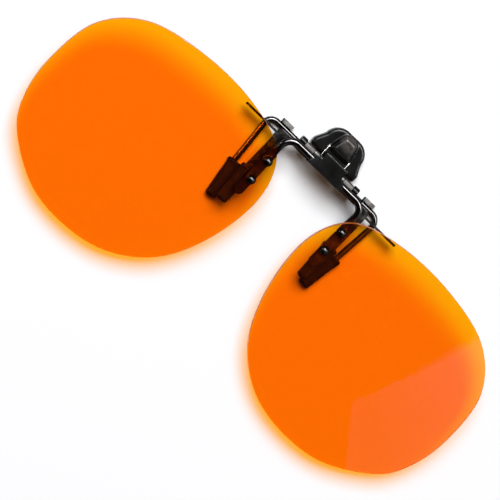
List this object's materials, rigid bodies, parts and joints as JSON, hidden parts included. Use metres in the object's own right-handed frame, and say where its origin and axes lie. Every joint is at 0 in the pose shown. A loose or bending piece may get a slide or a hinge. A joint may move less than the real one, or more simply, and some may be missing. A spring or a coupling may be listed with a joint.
{
  "type": "clip-on blue light glasses",
  "caption": "Flip-up pair of orange blue-light lenses on a hinged bar, with a sprung clip whose padded jaws grip a pair of spectacles.",
  "frame": {"origin": "middle of the part's box, at its lowest point: the backs of the rear pads and of the thumb lever", "axes": "+X across the face, +Y up the face, +Z away from the face; left_ pieces lie at -X, as seen from the front"},
  "size_m": [0.139, 0.066, 0.0123],
  "materials": {
    "orange_lens": "polished, tinted through",
    "black_nickel": "polished steel, black nickel plated",
    "nickel": "satin, dark nickel plated",
    "spring_steel": "drawn wire",
    "black_plastic": "satin moulded",
    "pad_rubber": "soft, slightly shiny",
    "nylon": "matte"
  },
  "bodies": {
    "rear_jaw": {"rear_plate": "nickel", "rear_wire": "black_nickel", "left_rear_pad": "pad_rubber", "right_rear_pad": "pad_rubber", "thumb_lever": "black_plastic", "lever_rivets": "nickel"},
    "front_jaw": {"front_plate": "nickel", "hinge_block": "black_plastic", "hinge_cover": "black_plastic", "block_rivets": "nickel", "friction_leaf": "nickel", "pivot_pin": "nickel", "pin_caps": "black_plastic", "left_front_pad": "pad_rubber", "right_front_pad": "pad_rubber", "torsion_spring": "spring_steel"},
    "lens_frame": {"flip_bar": "black_nickel", "left_lens": "orange_lens", "right_lens": "orange_lens", "left_lens_rivets": "black_nickel", "right_lens_rivets": "black_nickel", "left_lens_bushes": "nylon", "right_lens_bushes": "nylon"}
  },
  "joints": [
    {"name": "jaw_open", "type": "hinge", "parent": "rear_jaw", "child": "front_jaw", "pos_m": [0, 0.02318, 0.0042], "axis": [-1, 0, 0], "range_deg": [0, 22], "stiffness_Nm_per_rad": 0.02, "springref_deg": -40.11, "deforming": ["torsion_spring"]},
    {"name": "flip_up", "type": "hinge", "parent": "front_jaw", "child": "lens_frame", "pos_m": [0, 0.02168, 0.0086], "axis": [-1, 0, 0], "range_deg": [0, 90]}
  ]
}
